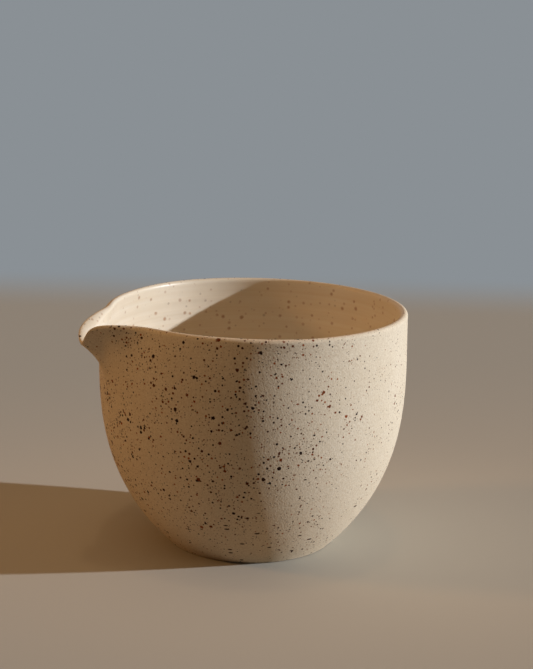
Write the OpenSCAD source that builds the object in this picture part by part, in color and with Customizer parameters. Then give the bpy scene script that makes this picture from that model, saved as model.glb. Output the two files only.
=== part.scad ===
// Wheel-thrown stoneware pouring bowl, glazed inside, with a lip pulled out of its rim.
// Millimetres. The origin is the middle of the foot on the throwing axis, +Z is up.
// The lip points along -X. Its edge dips a little more on the +Y side, as the hand that pulled it left it.

/* [Bowl] */
// Outside diameter at the rim
rim_d = 120;            // [108:1:132]
// Height of the rim above the table
height = 94;            // [86:1:102]
// Diameter of the flat foot
foot_d = 63;            // [56:1:70]
// Radius that rounds the foot's edge
foot_round = 3;         // [1.5:0.5:5]
// Angle at which the wall leaves the foot, in degrees above the table
foot_rise = 44;         // [38:1:50]
// How far the wall keeps that angle before it turns upright
foot_pull = 44;         // [38:1:50]
// How far below the rim the wall stands upright
rim_pull = 27;          // [20:1:34]

/* [Thickness] */
// Thickness of the wall low down, glaze included
wall_t = 6;             // [5:0.25:7]
// Thickness of the rim, which is rounded over in full
rim_t = 3;              // [2.4:0.1:4]
// Thickness of the floor at the middle, glaze included
floor_t = 6;            // [5:0.25:8]
// Thickness of the fired glaze inside
glaze_t = 0.4;          // [0.3:0.05:0.6]

/* [Pouring lip] */
// How far the lip swells out of the rim
lip_out = 15.2;         // [12:0.2:17.6]
// Half width of the lip, which is blunt seen from above
lip_w = 9.7;            // [8:0.1:11]
// How round the lip's end is, as a radius
lip_tip = 5.7;          // [4.5:0.1:7]
// Depth below the rim at which the lip starts to swell
lip_drop = 44;          // [38:1:50]
// Depth of the broad dip of the rim at the lip
dip = 4.9;              // [3.5:0.1:6.5]
// Half width of that dip
dip_w = 7.7;            // [6.5:0.1:9]
// How far the dip lies to the +Y side of the lip's middle
dip_side = 3.4;         // [0:0.1:4]
// Further depth of the pouring channel in the lip's edge
notch = 4.1;            // [2.5:0.1:5]
// Half width of that channel
notch_w = 4;            // [3:0.1:5]
// How far the fingers press the rim in on both sides of the lip
pinch = 2.6;            // [1:0.1:3.5]
// Depth below the rim that the fingers press
pinch_drop = 22;        // [18:1:30]
// Angle from the lip up to which they press in full
pinch_hold = 47;        // [38:1:56]

/* [Hidden] */

// Sharpness of the lip's swelling with height, and of its plan
swell_power = 4.7;
plan_power = 1.85;

// Steps along the foot's edge, the wall, the bare and the glazed side of the rim, and round half the lip
foot_n = 3;
wall_n = 15;
bare_n = 6;
glazed_n = 4;
side_n = 26;
// Angle over the rim at which the glaze ends, from 0 outside over 90 on top to 180 inside
glaze_end = 100;

rim_r = rim_d / 2;
foot_r = foot_d / 2;
// Height of the middle of the rounded rim
rim_z = height - rim_t / 2;
// Step of the wall curve above which the inside runs parallel to the outside
floor_step = 5;
// Points of the floor, so that the inside chain is as long as the outside one
floor_n = 1 + foot_n + floor_step;

// Wall curve of the outside, from the end of the foot's rounding to the rim
wall_0 = [foot_r + foot_round * sin(foot_rise), foot_round * (1 - cos(foot_rise))];
wall_1 = wall_0 + foot_pull * [cos(foot_rise), sin(foot_rise)];
wall_2 = [rim_r, rim_z - rim_pull];
wall_3 = [rim_r, rim_z];

// Point of a cubic curve, and its direction with length one
function curve(p, q, r, s, u) =
    pow(1 - u, 3) * p + 3 * u * pow(1 - u, 2) * q + 3 * u * u * (1 - u) * r + pow(u, 3) * s;
function unit(v) = v / norm(v);
function heading(u) = unit(
    pow(1 - u, 2) * (wall_1 - wall_0) + 2 * u * (1 - u) * (wall_2 - wall_1) + u * u * (wall_3 - wall_2));
function outside(u) = curve(wall_0, wall_1, wall_2, wall_3, u);
// Inside of the wall: set in square to the outside, thinner towards the rim
function inside(u, less) =
    outside(u) + (rim_t + (wall_t - rim_t) * pow(1 - u, 2) - less) * [-heading(u)[1], heading(u)[0]];

// Floor curve from the axis out to the wall's inside, level in the middle
function floor_corner(less) =
    let (p = inside(floor_step / wall_n, less), d = heading(floor_step / wall_n), z = floor_t - less)
    [p[0] - (p[1] - z) * d[0] / d[1], z];
function floor_at(t, less) =
    let (c = floor_corner(less), p = inside(floor_step / wall_n, less), m = [0, floor_t - less])
    curve(m, m + 0.6 * (c - m), p + 0.6 * (c - p), p, t);

// Chains of [radius, height, share of the inside], all starting on the axis
outer_chain = concat(
    [[0, 0, 0]],
    [for (i = [0:foot_n]) let (w = foot_rise * i / foot_n)
        [foot_r + foot_round * sin(w), foot_round * (1 - cos(w)), 0]],
    [for (i = [1:wall_n]) concat(outside(i / wall_n), 0)]);
function inner_chain(less) = concat(
    [for (i = [0:floor_n - 1]) concat(floor_at(i / floor_n, less), 1)],
    [for (i = [floor_step:wall_n]) concat(inside(i / wall_n, less), 1)]);
// Point of the rounded rim, from the outside at 0 degrees over the top to the inside at 180, set in by less
function rim_point(w, less) =
    let (r = rim_t / 2 - less)
    [rim_r - rim_t / 2 + r * cos(w), rim_z + r * sin(w), w / 180];
// Glazed side of the rim, from the inside towards the top
function glazed_rim(less) = [for (i = [1:glazed_n]) rim_point(180 - (180 - glaze_end) * i / glazed_n, less)];

// The two sides of the clay, which meet on top of the rim; a ledge beside the top stops the glaze
clay_out = concat(outer_chain, [for (i = [1:bare_n]) rim_point(90 * i / bare_n, 0)]);
clay_in = concat(inner_chain(glaze_t), glazed_rim(glaze_t), [rim_point(glaze_end, 0), rim_point(90, 0)]);
// The two sides of the glaze
glaze_out = concat(inner_chain(glaze_t), glazed_rim(glaze_t));
glaze_in = concat(inner_chain(0), glazed_rim(0));

function smooth(t) = let (c = max(0, min(1, t))) c * c * (3 - 2 * c);

// Pulled lip: a point at angle a from the lip, given as [radius, height, share of the inside]
// The inside swells later and over less width than the outside, so the lip stays as thick as the rim
function pulled(a, p) =
    let (
        along = a * PI / 180 * rim_r,
        beside = abs(along) + p[2] * rim_t / 4,
        swell = exp(-pow((sqrt(beside * beside + lip_tip * lip_tip) - lip_tip) / lip_w, plan_power)),
        up = pow(max(0, 1 - (height - p[1] + p[2] * rim_t / 2) / lip_drop), swell_power),
        press = pow(max(0, 1 - (height - p[1]) / pinch_drop), 2),
        fade = smooth((90 - abs(a)) / (90 - pinch_hold)),
        r = p[0] + fade * (lip_out * up * swell - pinch * press),
        sunk = dip * exp(-pow((along + dip_side) / dip_w, 2)) + notch * exp(-pow(along / notch_w, 2)),
        z = p[1] - sunk * smooth(1 - (height - p[1]) / lip_drop)
    )
    [-r * cos(a), -r * sin(a), z];

// Angles of the sections round the lip's half of the bowl, closest together at the lip
function spread(t) = 90 * (0.12 * t + 0.88 * t * abs(t));
angles = [for (i = [-side_n:side_n]) spread(i / side_n)];

// Solid between two chains of equal length: turned on the +X half, lofted through the lip on the other
module shell_between(out, in) {
    n = len(out);
    shut = norm(out[n - 1] - in[n - 1]) < 0.000001;
    loop = concat(out, [for (i = [n - (shut ? 2 : 1):-1:0]) in[i]]);
    m = len(loop);
    // Every section is a ring of points; the first and last one lie on the axis and serve all sections
    points = concat(
        [[0, 0, loop[0][1]], [0, 0, loop[m - 1][1]]],
        [for (a = angles) for (i = [1:m - 2]) pulled(a, loop[i])]);
    w = m - 2;
    k = len(angles);
    function at(s, i) = i == 0 ? 0 : i == m - 1 ? 1 : 2 + s * w + i - 1;
    sides = [for (s = [0:k - 2]) for (i = [0:m - 2]) each (
        i == 0 ? [[0, at(s, 1), at(s + 1, 1)]] :
        i == m - 2 ? [[1, at(s + 1, i), at(s, i)]] :
        [[at(s, i), at(s, i + 1), at(s + 1, i)], [at(s + 1, i), at(s, i + 1), at(s + 1, i + 1)]])];
    // Flat ends: a strip of triangles between the two chains
    cap = [for (i = [0:n - 2]) each (
        i + 1 == m - 2 - i ? [[i, i + 1, m - 1 - i]] :
        [[i, i + 1, m - 1 - i], [i + 1, m - 2 - i, m - 1 - i]])];
    caps = concat(
        [for (c = cap) [at(0, c[0]), at(0, c[2]), at(0, c[1])]],
        [for (c = cap) [at(k - 1, c[0]), at(k - 1, c[1]), at(k - 1, c[2])]]);
    polyhedron(points, concat(sides, caps));
    rotate([0, 0, -90])
        rotate_extrude(angle = 180, $fn = 96)
            polygon([for (p = loop) [p[0], p[1]]]);
}

// Thrown clay: foot, wall, rim, lip and floor in one piece
module stoneware_body() {
    color("#D9C8AC")
        shell_between(clay_out, clay_in);
}

// Clear satin glaze over the whole inside and the inner side of the rounded rim
module glaze_liner() {
    color("#E6DCC8")
        shell_between(glaze_out, glaze_in);
}

stoneware_body();
glaze_liner();
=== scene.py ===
# Looks of the speckled stoneware pouring bowl, in metres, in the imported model's own frame.
# The origin is the middle of the foot, +Z is up and the lip points along -X.
# The bowl's own sizes are given in millimetres and scaled by MM when its points are made.
import bmesh
import bpy
import numpy as np
from mathutils import Matrix, Vector


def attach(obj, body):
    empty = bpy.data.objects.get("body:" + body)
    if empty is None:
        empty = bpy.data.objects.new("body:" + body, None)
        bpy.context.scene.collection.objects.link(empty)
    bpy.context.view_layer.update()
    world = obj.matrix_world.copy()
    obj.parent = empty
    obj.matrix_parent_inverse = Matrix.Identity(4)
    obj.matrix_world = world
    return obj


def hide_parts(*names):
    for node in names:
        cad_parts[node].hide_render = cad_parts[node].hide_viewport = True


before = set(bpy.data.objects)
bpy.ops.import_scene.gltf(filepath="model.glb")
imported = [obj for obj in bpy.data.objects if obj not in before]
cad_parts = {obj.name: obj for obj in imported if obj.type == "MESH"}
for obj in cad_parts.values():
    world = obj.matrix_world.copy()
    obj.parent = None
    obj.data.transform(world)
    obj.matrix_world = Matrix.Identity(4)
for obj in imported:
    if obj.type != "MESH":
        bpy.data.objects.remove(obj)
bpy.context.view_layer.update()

MM = 0.001

# Sizes of the bowl in millimetres, as in the part's source
RIM_R = 60.0
HEIGHT = 94.0
FOOT_R = 31.5
FOOT_ROUND = 3.0
FOOT_RISE = np.radians(44.0)
FOOT_PULL = 44.0
RIM_PULL = 27.0
WALL_T = 6.0
RIM_T = 3.0
FLOOR_T = 6.0
GLAZE_T = 0.4
RIM_Z = HEIGHT - RIM_T / 2

# Sizes of the pulled lip in millimetres, as in the part's source
LIP_OUT = 15.2
LIP_W = 9.7
LIP_TIP = 5.7
LIP_DROP = 44.0
DIP = 4.9
DIP_W = 7.7
DIP_SIDE = 3.4
NOTCH = 4.1
NOTCH_W = 4.0
PINCH = 2.6
PINCH_DROP = 22.0
PINCH_HOLD = np.radians(47.0)
# Sharpness of the lip's swelling with height, and of its plan
SWELL_POWER = 4.7
PLAN_POWER = 1.85

# Angle over the rim at which the glaze ends: 0 is outside, a quarter turn on top and a half turn inside
GLAZE_END = np.radians(100.0)
# The visible skin lies this far inside the part's solids, in millimetres, to stay within their box
SKIN = 0.03

# Ridges left by the thrower's fingers and the trimming tool: depth and spacing in millimetres
TRIM_DEPTH = 0.05
TRIM_SPACING = 2.6
FINGER_DEPTH = 0.16
FINGER_SPACING = 6.5
# Height below the rim over which all ridges die out, and radius on the floor at which the fingers' are full
RIDGE_FADE = 6.0
FINGER_START = 20.0

# Points along the profiles: the flat foot, its rounded edge, the wall, and the inside where seen and hidden
FOOT_N = 5
EDGE_N = 8
WALL_N = 90
SEEN_FLOOR_N = 36
SEEN_WALL_N = 80
HIDDEN_FLOOR_N = 10
HIDDEN_WALL_N = 24
# Points over the rim: the bare clay, the clay that the glaze covers, and the glaze
BARE_RIM_N = 16
COVERED_RIM_N = 10
GLAZED_RIM_N = 12


# Wall of the bowl

WALL_0 = np.array([FOOT_R + FOOT_ROUND * np.sin(FOOT_RISE), FOOT_ROUND * (1 - np.cos(FOOT_RISE))])
WALL_1 = WALL_0 + FOOT_PULL * np.array([np.cos(FOOT_RISE), np.sin(FOOT_RISE)])
WALL_2 = np.array([RIM_R, RIM_Z - RIM_PULL])
WALL_3 = np.array([RIM_R, RIM_Z])
# Share of the wall curve above which the inside follows the outside
FLOOR_SHARE = 1 / 3
# Share of the way by which the floor's curve is drawn towards the corner between floor and wall
FLOOR_PULL = 0.6


def curve(p, q, r, s, u):
    """Points of a cubic curve at the shares u."""
    u = np.asarray(u, float)[:, None]
    return (1 - u) ** 3 * p + 3 * u * (1 - u) ** 2 * q + 3 * u ** 2 * (1 - u) * r + u ** 3 * s


def heading(u):
    """Direction of the wall curve, of length one."""
    u = np.asarray(u, float)[:, None]
    way = (1 - u) ** 2 * (WALL_1 - WALL_0) + 2 * u * (1 - u) * (WALL_2 - WALL_1)
    way = way + u ** 2 * (WALL_3 - WALL_2)
    return way / np.linalg.norm(way, axis=1)[:, None]


def set_in(u, depth):
    """Points of the wall set in from the outside by a depth, square to it."""
    way = heading(u)
    inward = np.stack([-way[:, 1], way[:, 0]], 1)
    return curve(WALL_0, WALL_1, WALL_2, WALL_3, u) + np.asarray(depth)[:, None] * inward


def ridges(z, spacing, depth):
    """Soft uneven ridges by height, from nothing to their depth, that die out at the rim."""
    phase = 2 * np.pi * z / spacing
    # Two waves whose lengths don't fit each other, so that no two ridges are alike
    wave = np.sin(phase + 1.7 * np.sin(phase * 0.231)) * 0.5 + 0.3 * np.sin(phase * 0.437 + 1.1)
    fade = np.clip((RIM_Z - 1.0 - z) / RIDGE_FADE, 0, 1)
    return depth * (0.5 + wave / 1.6) * fade


def wall_inside(u, less):
    """Inside of the wall, thinner towards the rim, with less taken off its thickness."""
    u = np.asarray(u, float)
    return set_in(u, RIM_T + (WALL_T - RIM_T) * (1 - u) ** 2 - less)


def inside_profile(floor_n, wall_n, less):
    """Inside from the axis over the floor and up the wall to the inner edge of the rim."""
    start = np.array([FLOOR_SHARE])
    foot = wall_inside(start, less)[0]
    way = heading(start)[0]
    middle = np.array([0.0, FLOOR_T - less])
    corner = np.array([foot[0] - (foot[1] - middle[1]) * way[0] / way[1], middle[1]])
    shares = np.arange(floor_n) / floor_n
    from_middle = middle + FLOOR_PULL * (corner - middle)
    from_wall = foot + FLOOR_PULL * (corner - foot)
    floor = curve(middle, from_middle, from_wall, foot, shares)
    wall = wall_inside(np.linspace(FLOOR_SHARE, 1, wall_n), less)
    return np.concatenate([floor, wall])


def outside_profile():
    """Outside from the axis over the flat foot, its rounded edge and the wall up to the rim."""
    flat = np.stack([np.linspace(0, FOOT_R, FOOT_N + 1)[:-1], np.zeros(FOOT_N)], 1)
    turn = np.linspace(0, FOOT_RISE, EDGE_N + 1)[:-1]
    edge = np.stack([FOOT_R + FOOT_ROUND * np.sin(turn), FOOT_ROUND * (1 - np.cos(turn))], 1)
    u = np.linspace(0, 1, WALL_N)
    height = curve(WALL_0, WALL_1, WALL_2, WALL_3, u)[:, 1]
    wall = set_in(u, SKIN + ridges(height, TRIM_SPACING, TRIM_DEPTH))
    return np.concatenate([flat, edge, wall])


# Pulled lip

def smooth(t):
    """Soft step from 0 to 1."""
    t = np.clip(t, 0, 1)
    return t * t * (3 - 2 * t)


def pulled(angle, radius, height, inner):
    """Points at an angle from the lip; inner is 0 on the outside of the wall and 1 on its inside.

    The inside swells later and over less width than the outside, so the lip stays as thick as the rim.
    """
    along = angle * RIM_R
    beside = np.abs(along) + inner * RIM_T / 4
    swell = np.exp(-((np.sqrt(beside ** 2 + LIP_TIP ** 2) - LIP_TIP) / LIP_W) ** PLAN_POWER)
    up = np.clip(1 - (HEIGHT - height + inner * RIM_T / 2) / LIP_DROP, 0, None) ** SWELL_POWER
    press = np.clip(1 - (HEIGHT - height) / PINCH_DROP, 0, None) ** 2
    fade = smooth((np.pi / 2 - np.abs(angle)) / (np.pi / 2 - PINCH_HOLD))
    r = radius + fade * (LIP_OUT * up * swell - PINCH * press)
    sunk = DIP * np.exp(-((along + DIP_SIDE) / DIP_W) ** 2) + NOTCH * np.exp(-(along / NOTCH_W) ** 2)
    z = height - sunk * smooth(1 - (HEIGHT - height) / LIP_DROP)
    return np.stack([-r * np.cos(angle), -r * np.sin(angle), z], -1)


# Turned pieces

# Sections round the bowl, closest together at the lip, where their spacing is this share of the mean
ROUND_N = 320
LIP_SPACING = 0.35
spread = np.linspace(-1, 1, ROUND_N + 1)[:-1]
ANGLES = np.pi * (LIP_SPACING * spread + (1 - LIP_SPACING) * spread * np.abs(spread))

# Chart for baking: a third of a turn, and the lower left corners and the size of the wall's three strips
THIRD_TURN = 2 * np.pi / 3
STRIP_CORNERS = ((0.01, 0.01), (0.51, 0.01), (0.01, 0.51))
STRIP_SIZE = 0.48
# Its discs: the larger one for a surface that shows, the smaller one for a hidden one
LARGE_DISC = (0.745, 0.745, 0.22)
SMALL_DISC = (0.965, 0.535, 0.02)


def turned_piece(name, profile, inner, shown, discs, sharp):
    """Closed piece turned from a profile that starts and ends on the axis, with the lip pulled out of it.

    shown holds the two places in the profile between which the wall is seen. In the chart for baking that
    wall is three upright strips, and what comes before and after it is a disc each, given as middle and
    radius. sharp lists the places where the profile has an edge.
    """
    body = bmesh.new()
    chart = body.loops.layers.uv.new("OFBake")
    rings = []
    for place in range(1, len(profile) - 1):
        points = pulled(ANGLES, profile[place, 0], profile[place, 1], inner[place]) * MM
        rings.append([body.verts.new(point) for point in points])
    low = body.verts.new((0, 0, profile[0, 1] * MM))
    high = body.verts.new((0, 0, profile[-1, 1] * MM))
    length = np.concatenate([[0], np.cumsum(np.linalg.norm(np.diff(profile, axis=0), axis=1))])
    first, last = shown
    turns = np.append(ANGLES, np.pi)

    def chart_point(place, turn, sector, part):
        """Place in the chart of a point of the profile at a turn round the axis."""
        if part == "wall":
            across = (turn - sector * THIRD_TURN) / THIRD_TURN + 0.5
            up = (length[place] - length[first]) / (length[last] - length[first])
            left, bottom = STRIP_CORNERS[sector]
            return left + STRIP_SIZE * across, bottom + STRIP_SIZE * up
        if part == "before":
            middle_u, middle_v, radius = discs[0]
            share = length[place] / length[first]
        else:
            middle_u, middle_v, radius = discs[1]
            share = (length[-1] - length[place]) / (length[-1] - length[last])
        return middle_u + share * radius * np.cos(turn), middle_v + share * radius * np.sin(turn)

    for s in range(ROUND_N):
        t = (s + 1) % ROUND_N
        sector = int(np.round((turns[s] + turns[s + 1]) / 2 / THIRD_TURN))
        for place in range(len(profile) - 1):
            if place == 0:
                corners = [(low, 0, s), (rings[0][t], 1, s + 1), (rings[0][s], 1, s)]
            elif place == len(profile) - 2:
                corners = [(rings[-1][s], place, s), (rings[-1][t], place, s + 1), (high, place + 1, s)]
            else:
                corners = [(rings[place - 1][s], place, s), (rings[place - 1][t], place, s + 1),
                           (rings[place][t], place + 1, s + 1), (rings[place][s], place + 1, s)]
            face = body.faces.new([corner[0] for corner in corners])
            face.smooth = True
            if place < first:
                part = "before"
            elif place < last:
                part = "wall"
            else:
                part = "after"
            for loop, corner in zip(face.loops, corners):
                loop[chart].uv = chart_point(corner[1], turns[corner[2]], sector, part)
    for place in sharp:
        for s in range(ROUND_N):
            edge = body.edges.get((rings[place - 1][s], rings[place - 1][(s + 1) % ROUND_N]))
            edge.smooth = False
    mesh = bpy.data.meshes.new(name)
    body.to_mesh(mesh)
    body.free()
    piece = bpy.data.objects.new(name, mesh)
    bpy.context.scene.collection.objects.link(piece)
    return piece


def rim_round(turn, less):
    """Points of the rounded rim by their turn from the outside over the top, set in by less."""
    r = RIM_T / 2 - less
    return np.stack([RIM_R - RIM_T / 2 + r * np.cos(turn), RIM_Z + r * np.sin(turn)], 1)


def clay_body():
    """Bare clay: foot, wall and the rim past its top; behind the glaze the inside that carries it."""
    outside = outside_profile()
    bare = np.linspace(0, GLAZE_END, BARE_RIM_N + 1)[1:]
    covered = np.linspace(GLAZE_END, np.pi, COVERED_RIM_N)
    hidden = inside_profile(HIDDEN_FLOOR_N, HIDDEN_WALL_N, GLAZE_T)[-2::-1]
    profile = np.concatenate([outside, rim_round(bare, SKIN), rim_round(covered, GLAZE_T), hidden])
    inner = np.concatenate([np.zeros(len(outside)), bare / np.pi, covered / np.pi, np.ones(len(hidden))])
    ledge = len(outside) + len(bare) - 1
    discs = (LARGE_DISC, SMALL_DISC)
    return turned_piece("stoneware_bowl", profile, inner, (FOOT_N, ledge), discs, (ledge, ledge + 1))


def glaze_coat():
    """Fired glaze over the inside and the inner side of the rim, flush with the bare clay where it ends."""
    turn = np.linspace(np.pi, GLAZE_END, GLAZED_RIM_N + 1)[1:]
    back = inside_profile(HIDDEN_FLOOR_N, HIDDEN_WALL_N, GLAZE_T)
    face = inside_profile(SEEN_FLOOR_N, SEEN_WALL_N, 0.0)
    swell = ridges(face[:, 1], FINGER_SPACING, FINGER_DEPTH)
    face[:, 0] -= swell * np.clip(face[:, 0] / FINGER_START, 0, 1)
    inner_back = np.concatenate([np.ones(len(back)), turn / np.pi])
    inner_face = np.concatenate([np.ones(len(face)), turn / np.pi])
    inner = np.concatenate([inner_back, inner_face[::-1]])
    back = np.concatenate([back, rim_round(turn, GLAZE_T)])
    face = np.concatenate([face, rim_round(turn, SKIN)])
    profile = np.concatenate([back, face[::-1]])
    first = len(back) - 1
    last = len(profile) - SEEN_FLOOR_N
    discs = (SMALL_DISC, LARGE_DISC)
    return turned_piece("satin_glaze", profile, inner, (first, last), discs, (first, first + 1))


# Materials

# Settings that several nodes share
# A mix of colours has its share at input 0, its colours at inputs 6 and 7 and its result at output 2
COLOUR = {"data_type": "RGBA"}
CLAMPED = {"clamp": True}
SOFT_STEP = {"interpolation_type": "SMOOTHSTEP"}
SUM = {"operation": "ADD"}
PRODUCT = {"operation": "MULTIPLY"}


def linear(code):
    """Linear colour of an sRGB hex value."""
    parts = [int(code[place:place + 2], 16) / 255 for place in (1, 3, 5)]
    return [v / 12.92 if v <= 0.04045 else ((v + 0.055) / 1.055) ** 2.4 for v in parts] + [1.0]


def add(tree, kind, settings=None, **inputs):
    """Adds one node; each input is a value, or another node's output to link.

    An input is named by its socket, or numbered as i0, i1 and so on.
    """
    node = tree.nodes.new(kind)
    for key, value in (settings or {}).items():
        setattr(node, key, value)
    for key, value in inputs.items():
        place = int(key[1:]) if key[0] == "i" and key[1:].isdigit() else key.replace("_", " ")
        socket = node.inputs[place]
        if isinstance(value, bpy.types.NodeSocket):
            tree.links.new(value, socket)
        else:
            socket.default_value = value
    return node


def surface(name):
    """Empty material, its tree, and the place on the bowl in millimetres."""
    material = bpy.data.materials.new(name)
    material.use_nodes = True
    tree = material.node_tree
    tree.nodes.clear()
    place = add(tree, "ShaderNodeTexCoord").outputs["Object"]
    place = add(tree, "ShaderNodeVectorMath", {"operation": "SCALE"}, Vector=place, Scale=1000.0).outputs[0]
    return material, tree, place


def iron_specks(tree, place, cell, biggest, share, blur, thick):
    """Iron grains, scattered through the clay and cut open at its surface, as a mask from 0 to 1.

    cell is their mean distance, biggest the largest radius and blur the width of their soft edge, all in
    millimetres; share is how many of the places hold one, and thick gathers them into swarms. The second
    result is a random colour for each grain.
    """
    grains = add(tree, "ShaderNodeTexVoronoi", {"voronoi_dimensions": "3D"}, Vector=place, Scale=1 / cell)
    chance = add(tree, "ShaderNodeSeparateColor", Color=grains.outputs["Color"]).outputs["Red"]
    chance = add(tree, "ShaderNodeMath", SUM, i0=chance, i1=thick).outputs[0]
    radius = add(tree, "ShaderNodeMapRange", CLAMPED, Value=chance, From_Min=1 - share, From_Max=1.0,
                 To_Min=-blur, To_Max=biggest).outputs[0]
    away = add(tree, "ShaderNodeMath", PRODUCT, i0=grains.outputs["Distance"], i1=cell).outputs[0]
    depth = add(tree, "ShaderNodeMath", {"operation": "SUBTRACT"}, i0=radius, i1=away).outputs[0]
    mask = add(tree, "ShaderNodeMapRange", CLAMPED, Value=depth, From_Min=-blur / 2, From_Max=blur / 2,
               To_Min=0.0, To_Max=1.0).outputs[0]
    return mask, grains.outputs["Color"]


def grain_colour(tree, tint, black, rust):
    """Colour of the iron grains: about a third are near-black, and the others shade into rust."""
    rusty = add(tree, "ShaderNodeSeparateColor", Color=tint).outputs["Green"]
    rusty = add(tree, "ShaderNodeMapRange", CLAMPED, Value=rusty, From_Min=0.35, From_Max=1.0,
                To_Min=0.0, To_Max=1.0).outputs[0]
    return add(tree, "ShaderNodeMix", COLOUR, i0=rusty, i6=linear(black), i7=linear(rust)).outputs[2]


def bare_stoneware():
    """Buff stoneware with iron grains, thrown, trimmed and fired bare.

    It gives a warm cream, quite matt, with a fine tooth, faint level lines from the wheel, and near-black to
    rust-brown specks that come in swarms; low on the wall the trimming tool has dragged some into dashes.
    """
    material, tree, place = surface("bare_buff_stoneware")
    x, y, z = add(tree, "ShaderNodeSeparateXYZ", Vector=place).outputs[:]
    turn = add(tree, "ShaderNodeMath", {"operation": "ARCTAN2"}, i0=y, i1=x).outputs[0]
    # Arc length on a wall of 55 mm radius, for marks that run level round the bowl
    arc = add(tree, "ShaderNodeMath", PRODUCT, i0=turn, i1=55.0).outputs[0]

    # Clay colour: clouds about 18 mm wide, and a sandy grain of 0.7 mm, drawn coarser than it is to show
    cloud = add(tree, "ShaderNodeTexNoise", Vector=place, Scale=1 / 18, Detail=3.0,
                Roughness=0.55).outputs["Fac"]
    grain = add(tree, "ShaderNodeTexNoise", Vector=place, Scale=1 / 0.7, Detail=2.0,
                Roughness=0.65).outputs["Fac"]
    tone = add(tree, "ShaderNodeMix", COLOUR, i0=cloud, i6=linear("#E9DDC4"), i7=linear("#F2E9D5"))
    worn = add(tree, "ShaderNodeMapRange", CLAMPED, Value=grain, From_Min=0.35, From_Max=0.7,
               To_Min=0.0, To_Max=0.55).outputs[0]
    tone = add(tree, "ShaderNodeMix", COLOUR, i0=worn, i6=tone.outputs[2], i7=linear("#CBB99C"))

    # Swarms of specks about 14 mm wide
    swarm = add(tree, "ShaderNodeTexNoise", Vector=place, Scale=1 / 14, Detail=1.0,
                Roughness=0.5).outputs["Fac"]
    thick = add(tree, "ShaderNodeMapRange", CLAMPED, Value=swarm, From_Min=0.3, From_Max=0.7,
                To_Min=-0.16, To_Max=0.15).outputs[0]
    # Painted light: the specks thin out on the side that faces the key lamp, from 12 mm past the middle
    # onwards, so that the lit side reads paler, as if washed out by the light
    lit_side_thinning = add(tree, "ShaderNodeVectorMath", {"operation": "DOT_PRODUCT"}, i0=place,
               i1=(0.9, -0.44, 0.0)).outputs["Value"]
    lit_side_thinning = add(tree, "ShaderNodeMapRange", SOFT_STEP, Value=lit_side_thinning, From_Min=12.0,
               From_Max=40.0, To_Min=0.0, To_Max=-0.17).outputs[0]
    thick = add(tree, "ShaderNodeMath", SUM, i0=thick, i1=lit_side_thinning).outputs[0]
    # Fewer show just above the foot, where the trimming tool has smoothed the clay over them
    thin = add(tree, "ShaderNodeMapRange", CLAMPED, Value=z, From_Min=4.0, From_Max=20.0,
               To_Min=-0.17, To_Max=0.0).outputs[0]
    thick = add(tree, "ShaderNodeMath", SUM, i0=thick, i1=thin).outputs[0]
    # The large grains are shifted against the small ones, so that the two patterns don't match
    apart = add(tree, "ShaderNodeVectorMath", SUM, i0=place, i1=(8.0, 27.0, -6.0)).outputs[0]
    # Their outline is uneven, by bumps about half a millimetre wide
    jag = add(tree, "ShaderNodeTexNoise", Vector=place, Scale=1 / 0.55, Detail=1.0).outputs["Color"]
    jag = add(tree, "ShaderNodeVectorMath", {"operation": "SUBTRACT"}, i0=jag, i1=(0.5, 0.5, 0.5)).outputs[0]
    ragged = add(tree, "ShaderNodeVectorMath", {"operation": "MULTIPLY_ADD"}, i0=jag, i1=(0.8, 0.8, 0.8),
                 i2=apart).outputs[0]
    large, tint_large = iron_specks(tree, ragged, cell=2.5, biggest=0.74, share=0.52, blur=0.1, thick=thick)
    small, tint_small = iron_specks(tree, place, cell=1.25, biggest=0.5, share=0.74, blur=0.1, thick=thick)
    dust = iron_specks(tree, place, cell=0.8, biggest=0.28, share=0.78, blur=0.08, thick=thick)[0]

    # Dashes: specks drawn out about three times along the wheel's turn, only on the lower wall
    level = add(tree, "ShaderNodeMath", {"operation": "DIVIDE"}, i0=arc, i1=3.2).outputs[0]
    drawn = add(tree, "ShaderNodeCombineXYZ", X=level, Y=0.0, Z=z).outputs[0]
    low = add(tree, "ShaderNodeMapRange", CLAMPED, Value=z, From_Min=46.0, From_Max=14.0,
              To_Min=-0.5, To_Max=0.2).outputs[0]
    dashes = iron_specks(tree, drawn, cell=2.1, biggest=0.38, share=0.5, blur=0.12, thick=low)[0]

    # The finest marks lie lowest, and the large grains over all
    core_large = grain_colour(tree, tint_large, "#24100A", "#924A1E")
    core_small = grain_colour(tree, tint_small, "#2B150B", "#A25824")
    marks = add(tree, "ShaderNodeMath", PRODUCT, i0=dust, i1=0.8).outputs[0]
    tone = add(tree, "ShaderNodeMix", COLOUR, i0=marks, i6=tone.outputs[2], i7=linear("#5C381C"))
    tone = add(tree, "ShaderNodeMix", COLOUR, i0=dashes, i6=tone.outputs[2], i7=linear("#38200F"))
    tone = add(tree, "ShaderNodeMix", COLOUR, i0=small, i6=tone.outputs[2], i7=core_small)
    tone = add(tree, "ShaderNodeMix", COLOUR, i0=large, i6=tone.outputs[2], i7=core_large)

    # Tooth of the clay, about 0.1 mm deep, and level wheel lines about 0.8 mm apart
    lines_at = add(tree, "ShaderNodeMath", PRODUCT, i0=arc, i1=0.015).outputs[0]
    lines_at = add(tree, "ShaderNodeCombineXYZ", X=lines_at, Y=0.0, Z=z).outputs[0]
    lines = add(tree, "ShaderNodeTexNoise", Vector=lines_at, Scale=1 / 0.8, Detail=2.0,
                Roughness=0.6).outputs["Fac"]
    tooth = add(tree, "ShaderNodeBump", Strength=0.8, Distance=0.00015, Height=grain)
    tooth = add(tree, "ShaderNodeBump", Strength=0.5, Distance=0.00005, Height=lines,
                Normal=tooth.outputs[0])

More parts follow.
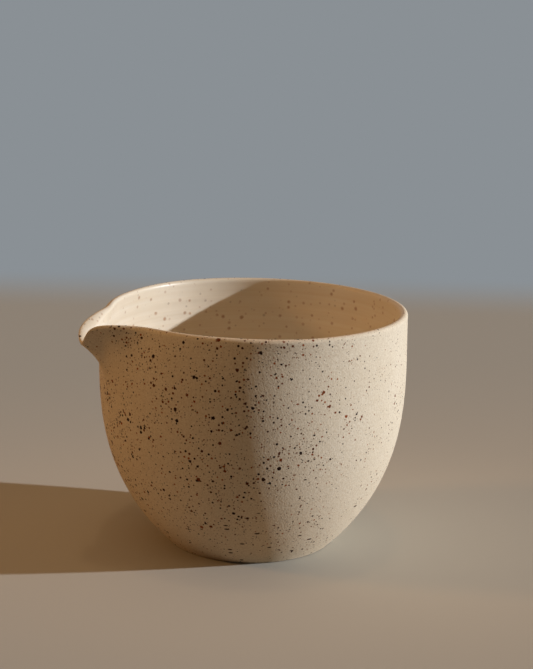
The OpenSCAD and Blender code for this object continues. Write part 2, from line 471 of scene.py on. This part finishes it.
    # Bare clay is porous, so little gloss is left at its surface
    shader = add(tree, "ShaderNodeBsdfPrincipled", Base_Color=tone.outputs[2], Roughness=0.72, IOR=1.5,
                 Specular_IOR_Level=0.15, Normal=tooth.outputs[0])
    add(tree, "ShaderNodeOutputMaterial", Surface=shader.outputs[0])
    return material


def satin_glaze():
    """Clear satin glaze fired over the same clay.

    It gives a slightly lighter, smoother cream with a soft sheen and faint level streaks; the specks under
    it are fewer and blurred, because the iron bleeds into the melt.
    """
    material, tree, place = surface("clear_satin_glaze")
    x, y, z = add(tree, "ShaderNodeSeparateXYZ", Vector=place).outputs[:]
    turn = add(tree, "ShaderNodeMath", {"operation": "ARCTAN2"}, i0=y, i1=x).outputs[0]
    # The turn counts little, so that the streaks run level
    arc = add(tree, "ShaderNodeMath", PRODUCT, i0=turn, i1=0.8).outputs[0]

    # Colour: clouds 14 mm wide, and level streaks about 1.5 mm high from the wheel
    cloud = add(tree, "ShaderNodeTexNoise", Vector=place, Scale=1 / 14, Detail=3.0,
                Roughness=0.5).outputs["Fac"]
    lines_at = add(tree, "ShaderNodeCombineXYZ", X=arc, Y=0.0, Z=z).outputs[0]
    lines = add(tree, "ShaderNodeTexNoise", Vector=lines_at, Scale=1 / 1.5, Detail=2.0,
                Roughness=0.5).outputs["Fac"]
    tone = add(tree, "ShaderNodeMix", COLOUR, i0=cloud, i6=linear("#EADFC8"), i7=linear("#F0E7D5"))
    streak = add(tree, "ShaderNodeMapRange", CLAMPED, Value=lines, From_Min=0.35, From_Max=0.7,
                 To_Min=0.0, To_Max=0.22).outputs[0]
    tone = add(tree, "ShaderNodeMix", COLOUR, i0=streak, i6=tone.outputs[2], i7=linear("#D8BE92"))

    # Blurred specks: wide pale ones, and a few smaller dark ones, in swarms about 16 mm wide
    swarm = add(tree, "ShaderNodeTexNoise", Vector=place, Scale=1 / 16, Detail=1.0).outputs["Fac"]
    thick = add(tree, "ShaderNodeMapRange", CLAMPED, Value=swarm, From_Min=0.3, From_Max=0.7,
                To_Min=-0.14, To_Max=0.06).outputs[0]
    # The wide ones are shifted against the dark ones, so that the two patterns don't match
    apart = add(tree, "ShaderNodeVectorMath", SUM, i0=place, i1=(40.0, 13.0, 9.0)).outputs[0]
    wide = iron_specks(tree, apart, cell=2.5, biggest=0.85, share=0.84, blur=0.7, thick=thick)[0]
    dark = iron_specks(tree, place, cell=2.2, biggest=0.55, share=0.4, blur=0.45, thick=thick)[0]
    soft = add(tree, "ShaderNodeMath", PRODUCT, i0=wide, i1=0.65).outputs[0]
    tone = add(tree, "ShaderNodeMix", COLOUR, i0=soft, i6=tone.outputs[2], i7=linear("#A26A34"))
    deep = add(tree, "ShaderNodeMath", PRODUCT, i0=dark, i1=0.35).outputs[0]
    tone = add(tree, "ShaderNodeMix", COLOUR, i0=deep, i6=tone.outputs[2], i7=linear("#6A4527"))

    # Flow of the melt in waves of 3 mm, 0.03 mm deep
    flow = add(tree, "ShaderNodeTexNoise", Vector=place, Scale=1 / 3, Detail=2.0,
               Roughness=0.5).outputs["Fac"]
    wave = add(tree, "ShaderNodeBump", Strength=0.35, Distance=0.00008, Height=flow)
    wave = add(tree, "ShaderNodeBump", Strength=0.5, Distance=0.00005, Height=lines, Normal=wave.outputs[0])
    shader = add(tree, "ShaderNodeBsdfPrincipled", Base_Color=tone.outputs[2], Roughness=0.38, IOR=1.52,
                 Normal=wave.outputs[0])
    add(tree, "ShaderNodeOutputMaterial", Surface=shader.outputs[0])
    return material


# Pieces

bowl = clay_body()
glaze = glaze_coat()
bowl.data.materials.append(bare_stoneware())
glaze.data.materials.append(satin_glaze())
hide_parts("stoneware_body")
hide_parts("glaze_liner")
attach(bowl, "root")
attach(glaze, "root")

# Camera: the photograph's view, fitted to the bowl's outline, with the lip turned 26 degrees towards it
VIEW_TURN = np.radians(26.3)
VIEW_DOWN = np.radians(13.0)
VIEW_ROLL = np.radians(1.2)
VIEW_AWAY = 0.5888
VIEW_AIM = Vector((0.00507, 0.0, 0.08268))
LENS_PIXELS = 1500.0
IMAGE_HEIGHT = 669.0

ahead = Vector((0.0, np.cos(VIEW_DOWN), -np.sin(VIEW_DOWN)))
level = Vector((1.0, 0.0, 0.0))
square = level.cross(ahead)
right = np.cos(VIEW_ROLL) * level + np.sin(VIEW_ROLL) * square
over = np.cos(VIEW_ROLL) * square - np.sin(VIEW_ROLL) * level
to_bowl = Matrix.Rotation(-VIEW_TURN, 4, "Z")
pose = Matrix((right, over, -ahead)).transposed().to_4x4()
pose.translation = VIEW_AIM - VIEW_AWAY * ahead
lens = bpy.data.cameras.new("photo_view")
# The sensor's width lies along the longer side of the image, which is its height
lens.sensor_width = 36.0
lens.lens = LENS_PIXELS * lens.sensor_width / IMAGE_HEIGHT
lens.clip_start = 0.01
camera = bpy.data.objects.new("photo_view", lens)
camera.matrix_world = to_bowl @ pose
bpy.context.scene.collection.objects.link(camera)
bpy.context.scene.camera = camera


# Stage: a pale floor that sweeps up into a backdrop behind the bowl, in metres, in the view's frame

# Half the sheet's width, where its bend starts behind the bowl, the bend's radius, and the sheet's top
SHEET_HALF = 2.5
BEND_AT = 0.8
BEND_R = 0.25
SHEET_TOP = 2.0
# Between these distances behind the bowl the floor turns into the backdrop's grey
GREY_FROM = 0.42
GREY_TO = 0.57
BACKDROP_GREY = linear("#8A9095")


def seen_share(tree):
    """1 for rays from the camera, in a reflection or through glass, and 0 for the light thrown back."""
    path = add(tree, "ShaderNodeLightPath")
    seen = add(tree, "ShaderNodeMath", {"operation": "MAXIMUM"}, i0=path.outputs["Is Camera Ray"],
               i1=path.outputs["Is Glossy Ray"]).outputs[0]
    return add(tree, "ShaderNodeMath", {"operation": "MAXIMUM"}, i0=seen,
               i1=path.outputs["Is Transmission Ray"]).outputs[0]


def sweep():
    """Floor and backdrop in one sheet of matt paper, a pale floor that turns cool grey towards its bend."""
    bend = np.linspace(0, np.pi / 2, 25)
    back = np.concatenate([[-SHEET_HALF], BEND_AT + BEND_R * np.sin(bend), [BEND_AT + BEND_R]])
    rise = np.concatenate([[0.0], BEND_R * (1 - np.cos(bend)), [SHEET_TOP]])
    sheet = bmesh.new()
    sides = (-SHEET_HALF, SHEET_HALF)
    rows = [[sheet.verts.new((side, y, z)) for side in sides] for y, z in zip(back, rise)]
    for near, far in zip(rows[:-1], rows[1:]):
        sheet.faces.new((near[0], near[1], far[1], far[0])).smooth = True
    mesh = bpy.data.meshes.new("studio_sweep")
    sheet.to_mesh(mesh)
    sheet.free()
    floor = bpy.data.objects.new("studio_sweep", mesh)
    floor.matrix_world = to_bowl
    bpy.context.scene.collection.objects.link(floor)
    material = bpy.data.materials.new("matt_paper")
    material.use_nodes = True
    tree = material.node_tree
    tree.nodes.clear()
    # The floor's paper, which takes the bowl's shadow; for the light it throws back it is a duller brown
    place = add(tree, "ShaderNodeTexCoord").outputs["Object"]
    behind = add(tree, "ShaderNodeSeparateXYZ", Vector=place).outputs["Y"]
    seen = seen_share(tree)
    paper = add(tree, "ShaderNodeMix", COLOUR, i0=seen, i6=linear("#A8977F"), i7=linear("#C2BFB4"))
    floor_paper = add(tree, "ShaderNodeBsdfPrincipled", Base_Color=paper.outputs[2], Roughness=0.9)
    # Seen, the paper turns into an even cool grey towards the bend
    share = add(tree, "ShaderNodeMapRange", SOFT_STEP, Value=behind, From_Min=GREY_FROM,
                From_Max=GREY_TO, To_Min=0.0, To_Max=1.0).outputs[0]
    share = add(tree, "ShaderNodeMath", PRODUCT, i0=share, i1=seen).outputs[0]
    wall = add(tree, "ShaderNodeEmission", Color=BACKDROP_GREY, Strength=1.0)
    shader = add(tree, "ShaderNodeMixShader", i0=share, i1=floor_paper.outputs[0], i2=wall.outputs[0])
    add(tree, "ShaderNodeOutputMaterial", Surface=shader.outputs[0])
    mesh.materials.append(material)
    return floor


sweep()


# Light: a low neutral key from the right, a warm bounce from the left, a small warm top lamp, a weak dome

# Distance of the lamps and the point on the axis that they aim at, in metres
LAMP_AWAY = 1.4
LAMP_AIM = Vector((0, 0, 0.05))
# Softness of the edge of a spot's cone, and its radius as a source in metres
SPOT_BLEND = 0.4
SPOT_RADIUS = 0.12


def lamp(name, kind, turn, height, strength, colour, spread):
    """Lamp aimed at the bowl from a turn in the view's frame, 0 being its right, and a height, in degrees.

    spread is the angle in degrees of the sun's disc or of a spot's cone.
    """
    data = bpy.data.lights.new(name, kind)
    data.energy = strength
    data.color = linear(colour)[:3]
    turn = np.radians(turn)
    height = np.radians(height)
    away = Vector((np.cos(turn) * np.cos(height), np.sin(turn) * np.cos(height), np.sin(height)))
    if kind == "SUN":
        data.angle = np.radians(spread)
    else:
        data.spot_size = np.radians(spread)
        data.spot_blend = SPOT_BLEND
        data.shadow_soft_size = SPOT_RADIUS
    holder = bpy.data.objects.new(name, data)
    spot = Matrix.Translation(away * LAMP_AWAY + LAMP_AIM)
    holder.matrix_world = to_bowl @ spot @ away.to_track_quat("Z", "Y").to_matrix().to_4x4()
    bpy.context.scene.collection.objects.link(holder)


lamp("key", "SUN", turn=-1.5, height=15.0, strength=3.5, colour="#F5F7FC", spread=1.3)
lamp("bounce", "SPOT", turn=182.0, height=22.0, strength=15.5, colour="#FFBB72", spread=15.0)
lamp("top", "SPOT", turn=0.0, height=90.0, strength=15.0, colour="#FFD3A2", spread=4.8)

world = bpy.data.worlds.new("studio_dome")
world.use_nodes = True
bpy.context.scene.world = world
tree = world.node_tree
tree.nodes.clear()
# The dome is dim up to about 40 degrees above the horizon and brightens from there to straight overhead
aim = add(tree, "ShaderNodeTexCoord").outputs["Generated"]
up = add(tree, "ShaderNodeSeparateXYZ", Vector=aim).outputs["Z"]
level = add(tree, "ShaderNodeMapRange", SOFT_STEP, Value=up, From_Min=0.65,
            From_Max=1.0, To_Min=0.01, To_Max=0.7).outputs[0]
dome = add(tree, "ShaderNodeBackground", Color=linear("#FFCB96"), Strength=level)
# Where it is seen past the floor it is the backdrop's grey
grey = add(tree, "ShaderNodeBackground", Color=BACKDROP_GREY, Strength=1.0)
both = add(tree, "ShaderNodeMixShader", i0=seen_share(tree), i1=dome.outputs[0], i2=grey.outputs[0])
add(tree, "ShaderNodeOutputWorld", Surface=both.outputs[0])

bpy.context.scene.view_settings.view_transform = "Standard"
